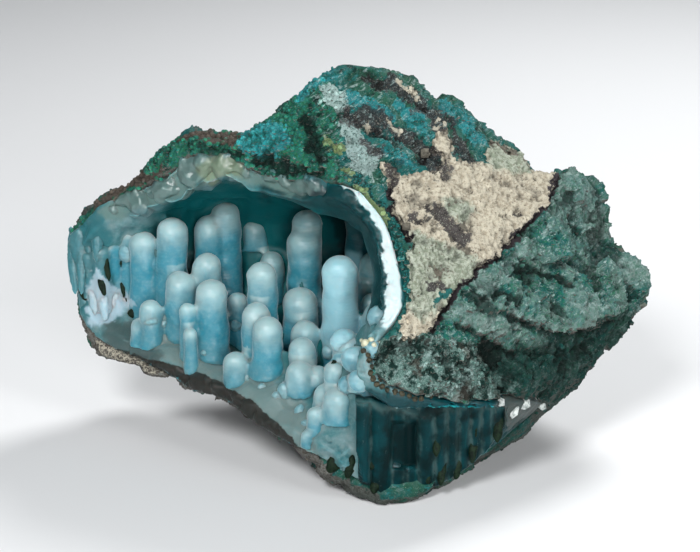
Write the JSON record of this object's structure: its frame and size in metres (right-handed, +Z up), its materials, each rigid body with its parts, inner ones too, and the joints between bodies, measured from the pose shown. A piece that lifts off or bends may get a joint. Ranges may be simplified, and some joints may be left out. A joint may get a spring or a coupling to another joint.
{
  "type": "chrysocolla specimen",
  "caption": "Natural specimen of green chrysocolla rock, broken open to show a hollow lined with milky blue chalcedony and filled with finger-like stalagmites.",
  "frame": {"origin": "centre of the bounding box at the height of the flat base", "axes": "+X to the right, the longest extent; the hollow opens towards -Y; +Z up from the flat base"},
  "size_m": [0.0944, 0.0616, 0.0625],
  "materials": {
    "matrix_rock": "rough broken rock, green and turquoise chrysocolla with a tan weathered patch and grey-brown underside",
    "chalcedony_crust": "milky translucent chalcedony, pale skin over a turquoise core, soft gloss"
  },
  "bodies": {
    "root": {"matrix_rock": "matrix_rock", "chalcedony_crust": "chalcedony_crust"}
  },
  "joints": []
}
